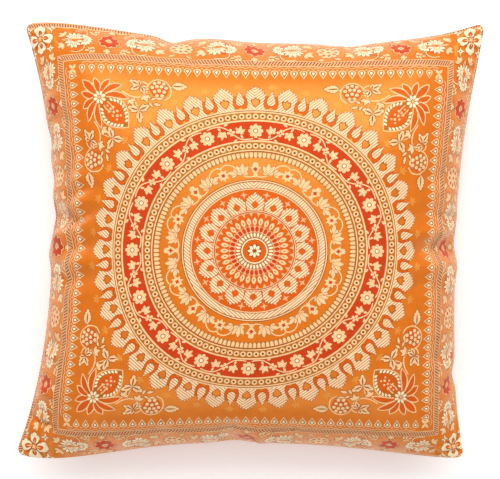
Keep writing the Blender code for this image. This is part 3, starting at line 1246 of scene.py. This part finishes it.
@dataclass
class Stripe:
    """A rope stripe round a square: slanted strokes between thin lines, mirrored at each middle."""

    across: tuple[float, float]
    width: float = 4.4
    pitch: float = 2.45
    stroke: float = 1.0
    slant: float = 2.4
    line: float = 0.8

    def weave(self, loom: Loom) -> None:
        """Weave the stripe's ground, its edge lines and its strokes."""
        half = self.width / 2
        for by, yarn in ((half + self.line, CREAM), (half + 0.2, BROWN), (half - 0.1, PEACH)):
            loom.weave(yarn, SQUARE * (np.array(self.across) + by))
        for (along, off), order in ((self.across, 1), (self.across[::-1], -1)):
            for i in range(int((along - half) / self.pitch) + 1):
                start = (i + 0.35) * self.pitch
                end = start + self.stroke
                quad = np.array([(start, off - half), (end, off - half), (end + self.slant, off + half),
                                 (start + self.slant, off + half)])
                loom.weave(DARK, *quarters((quad - (self.slant / 2, 0))[:, ::order]))

    def inside(self, loom: Loom, yarn: Yarn) -> None:
        """Lay the ground inside the stripe, after its inner line."""
        for by, laid in ((0.2, BROWN), (0.6, CREAM), (1.4, yarn)):
            loom.weave(laid, SQUARE * (np.array(self.across) - self.width / 2 - by))


@dataclass
class DropBorder:
    """The field's row of ringed drops, hanging inward under a row of scallops."""

    across: tuple[float, float] = (148.6, 145.1)
    counts: tuple[int, int] = (37, 39)
    pitches: tuple[float, float] = (7.47, 7.03)
    slack: tuple[float, float] = (4.8, 5.4)

    def weave(self, loom: Loom) -> None:
        """Weave all four rows and the corners' small sprigs."""
        x, y = self.across
        level, upright = zip(self.counts, self.pitches, self.slack)
        sides = ((level, 0, y), (upright, 90, x), (level, 180, y), (upright, 270, x))
        for (count, pitch, slack), turn, off in sides:
            # The rows are woven wider towards the corners
            place = (np.arange(count + 1) - count / 2) * pitch
            place += slack * (place / (count / 2 * pitch)) ** 7
            for low, high in zip(place, place[1:]):
                self.one(loom, (low + high) / 2, off, turn, high - low)
        for turn in (-35, 35, 145, 215):
            loom.weave(CREAM, *quarters(moved(petal(6.0, 2.8), x - 0.6, y - 0.4, turn)))

    def one(self, loom: Loom, at: float, off: float, turn: float, pitch: float) -> None:
        """One drop with its share of the scallops.

        Args:
            loom: where it is woven.
            at: its place along the row.
            off: the row's distance from the middle.
            turn: the row's degrees from the top one.
            pitch: from one drop to the next.
        """
        bow = [(-pitch / 2, 1.6), (-pitch / 4, 0.4), (0, 0), (pitch / 4, 0.4), (pitch / 2, 1.6)]
        scallop = smooth_path(bow, 2)
        for up, width, yarn in ((6.1, 0.6, OLD_GOLD), (5.2, 1.0, PEACH)):
            arc = strip(scallop * (1, -1) + (pitch / 2, up + 1.6), width)
            loom.weave(yarn, moved(arc + (at, off), turn=turn))
        loom.weave(PEACH, moved(disc(1.0, 6) + (at + pitch / 2, off + 3.9), turn=turn))
        for length, width, up, yarn in (
            (8.9, 6.3, 3.6, CREAM), (6.3, 3.9, 2.6, BROWN), (3.7, 2.3, 1.8, BRIGHT),
        ):
            made = drop(length, width) * (1, -1) + (0, up)
            loom.weave(yarn, moved(made + (at, off), turn=turn))


@dataclass
class FloralBand:
    """The outer band: flowers and medallions joined by sprigs, daisies, buds and shells."""

    across: tuple[float, float] = (178.0, 175.0)
    ends: tuple[float, float] = (184.5, 178.5)
    steps: tuple[float, float] = (58.2, 56.6)
    unit: float = 59.5

    def weave(self, loom: Loom) -> None:
        """Weave the band's four sides and corners."""
        for turn in around(4):
            side = int(turn / 90) % 2
            off, step = self.across[1 - side], self.steps[side]

            def put(start: float, way: float, flip: int, t: float = turn, q: float = off) -> Placing:
                """Put an outline on this side, from its start along it, the way that it runs."""
                return lambda o: moved(np.stack([(start + way * o[:, 0]) * flip, o[:, 1] + q], -1), turn=t)

            share = step / self.unit
            for flip in (1, -1):
                self.half_unit(loom, put(0, share, flip), False)
                self.half_unit(loom, put(2 * step, -share, flip), False)
                self.half_unit(loom, put(2 * step, 1.0, flip), True)
                self.flower(loom, put(2 * step, 1, flip))
                self.medallion(loom, put(step, 1, flip))
            self.flower(loom, put(0, 1, 1))
        for mirror in ((1, 1), (-1, 1), (1, -1), (-1, -1)):
            self.corner(loom, lambda o, m=mirror: (o + self.ends) * m)

    def lay(self, loom: Loom, place: Placing, *figures: tuple) -> None:
        """Weave figures in their place.

        Args:
            loom: where they are woven.
            place: puts an outline in its place.
            *figures: a yarn and its outlines.
        """
        for yarn, *outlines in figures:
            loom.weave(yarn, *(place(outline) for outline in outlines))

    def flower(self, loom: Loom, place: Placing) -> None:
        """A red flower of eight parted petals with a small gold middle."""
        self.lay(
            loom, place,
            (BROWN, flower(8, 9.8, 0.84)), (CREAM, flower(8, 9.3, 0.84)),
            (RED, *spun(petal(7.6, 4.8, 1.5, 0.6, 4), 1.4, around(8))),
            (CREAM, flower(4, 2.6, 0.5)), (OLD_GOLD, disc(0.9, 6)),
        )

    def medallion(self, loom: Loom, place: Placing) -> None:
        """A round medallion: cream petals, red diamonds and a small flower."""
        self.lay(
            loom, place,
            (BROWN, flower(12, 10.2, 0.84)), (CREAM, flower(12, 9.6, 0.82)),
            (RED, *spun(petal(3.4, 2.6), 4.0, around(8))),
            (CREAM, flower(6, 4.2, 0.6)), (RED, star(4, 1.6, 1.0)),
        )

    def corner(self, loom: Loom, place: Placing) -> None:
        """The corner's flower of four scalloped petals with hearts, and stars between them."""
        slanted = around(4, 45)
        for yarn, more in ((BROWN, 0.6), (BRIGHT, 0.0)):
            for straight, skew in zip(around(4), slanted):
                self.lay(
                    loom, place,
                    (yarn, *spun(flower(5, 6.6 + more, 0.82), 9.6, [straight])),
                    (yarn, *spun(star(4, 5.0 + more, 2.0 + more, 45), 17.6, [skew])),
                )
        for straight, skew in zip(around(4), slanted):
            self.lay(
                loom, place,
                (BROWN, *spun(petal(13.0, 1.6), 0, [skew])),
                (BROWN, *spun(petal(8.0, 5.0, 1.3, 0.8), 2.6, [straight])),
                (DEEP, *spun(petal(7.0, 3.8, 1.3, 0.8), 2.9, [straight])),
                (CREAM, *spun(petal(6.0, 1.0), 2.0, [straight])), (BROWN, *spun(disc(1.1, 6), 17.6, [skew])),
            )
        self.lay(loom, place, (CREAM, star(4, 3.4, 1.2, 45)))

    def half_unit(self, loom: Loom, place: Placing, corner: bool) -> None:
        """What lies between a flower at 0 and the medallion or corner at the unit's end.

        Args:
            loom: where it is woven.
            place: puts an outline in its place.
            corner: whether the unit ends at a corner.
        """

        def lay(yarn: Yarn, outline: Outline, *place_at: float, both: bool = True) -> None:
            """Lay a figure, and its mirror image in the band's own line."""
            made = moved(outline, *place_at)
            loom.weave(yarn, place(made), *([place(made * (1, -1))] if both else []))

        def daisy(x: float, y: float, turn: float, length: float, count: int) -> None:
            """Lay a daisy seen from the side: a fan of parted petals over a dark foot."""
            spreads = [(i / (count - 1) - 0.5) * 206 for i in range(count)]
            for more, yarn in ((0.5, BROWN), (0.0, BRIGHT)):
                for made in spun(petal(length + more, 2.7 + 1.6 * more, 1.6, 0.55, 3), 0, spreads):
                    lay(yarn, made, x, y, turn, both=y != 0)
            for made in spun(petal(length * 0.5, 0.8, points=1), 1.0, spreads):
                lay(BROWN, made, x, y, turn, both=y != 0)

        # Deep grounds round the daisies, closed by scrolls
        lay(DEEP, disc(5.0, 12), 25.6, 5.6)
        scroll = [(19.6, 1.0), (21.0, 5.0), (20.2, 9.4), (22.6, 13.4), (27.2, 15.0), (32.6, 14.0)]
        lay(BROWN, strip(smooth_path(scroll), 2.0))
        lay(CREAM, strip(smooth_path(scroll), 1.1))
        # Blossoms over and under the flower
        lay(BROWN, flower(4, 3.6, 0.5), 0.5, 13.4)
        lay(CREAM, flower(4, 3.0, 0.45), 0.5, 13.4)
        # A sprig of small leaves
        for along, lean in ((0.0, 48), (2.6, 42), (5.0, 0)):
            for side in (1, -1) if lean else (1,):
                leaf = moved(petal(4.4, 2.3, 1.1, 0.8, 3), side * 0.3, along, side * lean)
                lay(BROWN, grown(leaf, 0.35), 10.6, 11.6, 78)
                lay(CREAM, leaf, 10.6, 11.6, 78)
        daisy(21.0, 0, -90, 7.4, 8)
        daisy(31.0, 2.6, 10, 8.6, 7)
        # The bud on the band's own line
        for length, width, yarn in ((10.4, 4.6, BROWN), (9.2, 3.4, CREAM), (5.0, 1.0, BROWN)):
            lay(yarn, petal(length, width), 38.6 - length / 2, 0, 90, both=False)
        # Shells of three leaves
        for grow, yarn in ((0.5, BROWN), (0.0, CREAM)):
            for turn, length in ((10, 6.4), (58, 8.0), (100, 6.8)):
                lay(yarn, grown(petal(length, 3.4, 1.2, 0.8), grow), 40.4, 5.8, turn)
        if not corner:
            for grow, yarn in ((0.5, BROWN), (0.0, CREAM)):
                lay(yarn, grown(petal(6.4, 2.6), grow), 50.0, 13.6, 118)


# Pieces


# A triangle smaller than this, in square millimetres, is a sliver
LEAST_AREA = 1e-4
# How close to the eased corner's arc, in millimetres, a point counts as on it
ARC_WIDTH = 0.12
MATERIALS: dict[Yarn, bpy.types.Material] = {}


@dataclass
class SewnPanel:
    """One panel: its cut outline with eased corners, filled form, mesh, cloth map and yarns."""

    form: FilledForm
    moves: np.ndarray
    name: str = "panel"
    side: int = 1
    ground: Yarn = BACK
    ease_radius: float = 9.0
    grid_pitch: float = 4.0
    longest_edge: float = 5.0
    samples: int = 401

    def figures(self) -> list[tuple[Outline, Yarn]]:
        """The woven figures on this panel, in the order that they are laid."""
        return []

    def eased(self, outline: Outline, half: np.ndarray) -> Outline:
        """Round the corners of the panel's own outline, which were eased so that they turn out well.

        Args:
            outline: the panel's rectangle.
            half: half the panel's size.

        Returns:
            The eased outline.
        """
        middle = half - self.ease_radius
        over = np.maximum(np.abs(outline) - middle, 0)
        far = np.maximum(np.linalg.norm(over, axis=1, keepdims=True), 1e-9)
        share = np.minimum(1, self.ease_radius / far)
        return np.sign(outline) * (np.minimum(np.abs(outline), middle) + over * share)

    def filled(self, points: Outline, half: np.ndarray) -> tuple[np.ndarray, np.ndarray]:
        """Put points of the cut panel in their filled places.

        Args:
            points: the points.
            half: half the panel's size.

        Returns:
            The places and the normals.
        """
        share = points / half
        rows = np.linspace(-1, 1, self.samples)
        u, v = np.meshgrid(rows, rows)
        face, back = self.form.face(u, v), self.form.back(u, v)
        own = face if self.side > 0 else back
        lift = Creases().height(u, v) * (own[..., 2] > LYING)
        # At the seam both panels are lifted straight up, so that they still meet
        inward = np.min(half - np.abs(np.stack([u, v], -1)) * half, axis=-1)
        inside = np.clip(inward / self.ease_radius, 0, 1)[..., None]
        way = Panel(own, self.side).normals * inside + np.array([0.0, 0.0, 1.0]) * (1 - inside)
        panel = Panel(own + way * lift[..., None] + refined(self.moves, self.samples), self.side)
        places = panel.read(panel.points, share[:, 0], share[:, 1])
        # The eased corners are cut inside the seam's own line, so both panels are brought together there
        over = np.linalg.norm(np.maximum(np.abs(points) - half + self.ease_radius, 0), axis=1)
        rim = (over > self.ease_radius - ARC_WIDTH) & (np.abs(points) > half - self.ease_radius).all(axis=1)
        places[rim] = panel.read((face + back) / 2, share[rim, 0], share[rim, 1])
        normals = panel.read(panel.normals, share[:, 0], share[:, 1])
        return places, normals / np.linalg.norm(normals, axis=1, keepdims=True)

    def build(self) -> bpy.types.Object:
        """Cut the panel up by its figures, put it in its filled place and dress it.

        Returns:
            The panel's object.
        """
        half = np.array(self.form.cut) / 2 / MM
        laid = self.figures()
        own = self.eased(divided(SQUARE * half, self.longest_edge / 2), half)
        outlines = [own, *(divided(outline, self.longest_edge) for outline, _ in laid)]
        points, faces, owners = triangulate(outlines, half, self.grid_pitch)
        places, normals = self.filled(points, half)
        yarns = [self.ground] + [yarn for _, yarn in laid]
        order = list(dict.fromkeys(yarns))
        mesh = bpy.data.meshes.new(self.name)
        mesh.from_pydata(places.tolist(), [], [face[:: self.side] for face in faces])
        for yarn in order:
            mesh.materials.append(MATERIALS[yarn])
        slots = np.array([order.index(yarns[owner]) for owner in owners], np.int32)
        mesh.polygons.foreach_set("material_index", slots)
        layer = mesh.uv_layers.new(name="cloth")
        at = np.array([loop.vertex_index for loop in mesh.loops])
        layer.data.foreach_set("uv", (points[at] * MM).astype(np.float32).ravel())
        mesh.shade_smooth()
        mesh.normals_split_custom_set_from_vertices(normals.tolist())
        made = bpy.data.objects.new(self.name, mesh)
        bpy.context.scene.collection.objects.link(made)
        return made


@dataclass
class FacePanel(SewnPanel):
    """The face panel of figured silk. Its design lies turned and off its middle, as it was cut."""

    name: str = "face_panel"
    ground: Yarn = GROUND
    middle: tuple[float, float] = (1.67, -2.28)
    turn: float = 0.47
    dip: float = 2.6

    def figures(self) -> list[tuple[Outline, Yarn]]:
        """Weave the whole design, from the outer border inward.

        Returns:
            The figures.
        """
        loom, inner = Loom(), Loom()
        Stripe((199.4, 195.4)).weave(loom)
        loom.weave(CREAM, SQUARE * (196.4, 192.4))
        loom.weave(GROUND, SQUARE * (195.6, 191.6))
        FloralBand().weave(loom)
        rope = Stripe((160.9, 156.7))
        rope.weave(inner)
        rope.inside(inner, GROUND)
        DropBorder().weave(inner)
        for outline, yarn in inner.figures:
            loom.weave(yarn, self.dipped(divided(outline, self.longest_edge)))
        CornerSpray().weave(loom)
        Medallion().weave(loom)
        return [(moved(outline, *self.middle, turn=-self.turn), yarn) for outline, yarn in loom.figures]

    def dipped(self, outline: Outline) -> Outline:
        """Draw the top border inward towards its ends, as the cloth was pulled."""
        share = np.minimum(np.abs(outline[:, 0]) / 150, 1.1) ** 4 * np.clip((outline[:, 1] - 90) / 60, 0, 1)
        return outline - np.stack([0 * share, self.dip * share], -1)


@dataclass
class BackPanel(SewnPanel):
    """The back panel: plain silk of the same cut, flat where the cushion rests."""

    name: str = "back_panel"
    side: int = -1


def divided(outline: Outline, longest: float) -> Outline:
    """An outline with points added along its edges, to follow the filled form.

    Args:
        outline: the outline.
        longest: how long an edge may be.

    Returns:
        The outline with its points.
    """
    made = []
    for a, b in zip(outline, np.roll(outline, -1, 0)):
        count = max(1, math.ceil(np.linalg.norm(b - a) / longest))
        made.append(a + (b - a) * (np.arange(count) / count)[:, None])
    return np.concatenate(made)


def triangulate(
    outlines: list[Outline], half: np.ndarray, pitch: float
) -> tuple[np.ndarray, list, list[int]]:
    """Cut the panel into triangles that no figure's edge crosses.

    Args:
        outlines: the panel's own outline, then the figures' in the order they were laid.
        half: half the panel's size.
        pitch: the spacing of the points added between figures.

    Returns:
        The points, the triangles, and for each triangle the place of its topmost figure.
    """
    ends = np.cumsum([0] + [len(outline) for outline in outlines]).tolist()
    rings = [list(range(start, end)) for start, end in zip(ends, ends[1:])]
    x, y = np.meshgrid(*(np.arange(-h + pitch, h - 1, pitch) for h in half))
    x[1::2] += pitch / 2
    spread = np.stack([x.ravel(), y.ravel()], -1)
    spread = spread[np.abs(spread[:, 0]) < half[0] - 1]
    flat = [Vector(p) for p in np.concatenate([*outlines, spread]).tolist()]
    verts, _, made, _, _, sources = delaunay_2d_cdt(flat, [], rings, 1, 1e-4)
    places = np.array([tuple(v) for v in verts])
    # Points in line along the seam leave flat slivers, which would span the drawn-in sides
    kept = [i for i, f in enumerate(made) if 0 in sources[i] and abs(area(places[list(f)])) > LEAST_AREA]
    used, again = np.unique(np.array([made[i] for i in kept]), return_inverse=True)
    LOG.info("%d figures give %d points and %d faces", len(outlines), len(used), len(kept))
    return places[used], again.reshape(-1, 3).tolist(), [max(sources[i]) for i in kept]


# The stage


@dataclass
class Studio:
    """A pale floor, soft lights and the camera."""

    distance: float = 1.0
    tilt: tuple[float, float] = (-0.7, 2.53)
    roll: float = 1.14
    lens: float = 84.24
    shift: tuple[float, float] = (-0.0072, 0.0094)
    target: tuple[float, float, float] = (0.00515, -0.001755, 0.053)
    floor_size: float = 6.0
    # Name, place, width and height, and watts of each soft light
    softboxes: tuple = (
        ("key_softbox", (0.05, 0.45, 1.6), (1.1, 0.7), 4),
        ("top_softbox", (0.0, 1.0, 1.2), (2.4, 1.1), 24),
        ("fill_softbox", (0.0, -1.3, 1.0), (2.2, 0.6), 4),
    )

    def floor(self) -> None:
        """Lay a plain floor of matt white paint, which gives the eye an even, nearly white ground."""
        bm = bmesh.new()
        bmesh.ops.create_grid(bm, x_segments=1, y_segments=1, size=self.floor_size)
        mesh = bpy.data.meshes.new("floor")
        bm.to_mesh(mesh)
        bm.free()
        made = bpy.data.objects.new("floor", mesh)
        bpy.context.scene.collection.objects.link(made)
        paint = bpy.data.materials.new("matt_white_paint")
        paint.use_nodes = True
        # A light table: the floor glows a little, which keeps the shadow short
        for name, value in (
            ("Base Color", linear("FDFCFA")), ("Roughness", 0.9), ("Specular IOR Level", 0.1),
            ("Emission Color", (1, 1, 1, 1)), ("Emission Strength", 0.2),
        ):
            paint.node_tree.nodes["Principled BSDF"].inputs[name].default_value = value
        mesh.materials.append(paint)

    def lights(self) -> None:
        """Hang a small soft light overhead, a wide one past the top edge for the gloss, and a weak fill."""
        for name, place, size, power in self.softboxes:
            data = bpy.data.lights.new(name, "AREA")
            data.shape = "RECTANGLE"
            data.size, data.size_y = size
            data.energy = power
            made = bpy.data.objects.new(name, data)
            made.location = place
            made.rotation_euler = (Vector(place) - Vector((0, 0, 0.05))).to_track_quat("Z", "Y").to_euler()
            bpy.context.scene.collection.objects.link(made)
        world = bpy.data.worlds.new("studio")
        world.use_nodes = True
        room = world.node_tree.nodes["Background"]
        room.inputs["Color"].default_value = (1, 1, 1, 1)
        room.inputs["Strength"].default_value = 0.46
        bpy.context.scene.world = world
        bpy.context.scene.view_settings.view_transform = "Standard"

    def camera(self) -> None:
        """Set the camera at the photograph's angle to the face."""
        tilt_x, tilt_y = (math.radians(t) for t in self.tilt)
        back = Vector((-math.tan(tilt_x), math.tan(tilt_y), 1)).normalized()
        right = Vector((0, 1, 0)).cross(back).normalized()
        up = back.cross(right)
        c, s = math.cos(math.radians(self.roll)), math.sin(math.radians(self.roll))
        across, above = right * c + up * s, up * c - right * s
        data = bpy.data.cameras.new("camera")
        data.lens, data.sensor_width = self.lens, 36
        data.shift_x, data.shift_y = self.shift
        made = bpy.data.objects.new("camera", data)
        turn = Matrix((across, above, back)).transposed().to_4x4()
        made.matrix_world = Matrix.Translation(Vector(self.target) + back * self.distance) @ turn
        bpy.context.scene.collection.objects.link(made)
        bpy.context.scene.camera = made


def main() -> None:
    """Build the studio and the cushion's panels, and tie them to the frame."""
    logging.basicConfig(level=logging.INFO, format="%(message)s")
    studio = Studio()
    studio.camera()
    studio.floor()
    studio.lights()
    for yarn, finish in FINISHES.items():
        MATERIALS[yarn] = finish.material(yarn.value)
    form = FilledForm()
    face_moves, back_moves = Settling(form).moves()
    for piece in (FacePanel(form, face_moves).build(), BackPanel(form, back_moves).build()):
        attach(piece, "root")
        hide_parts("cushion")
        LOG.info("%s: %d faces", piece.name, len(piece.data.polygons))


if __name__ == "__main__":
    main()
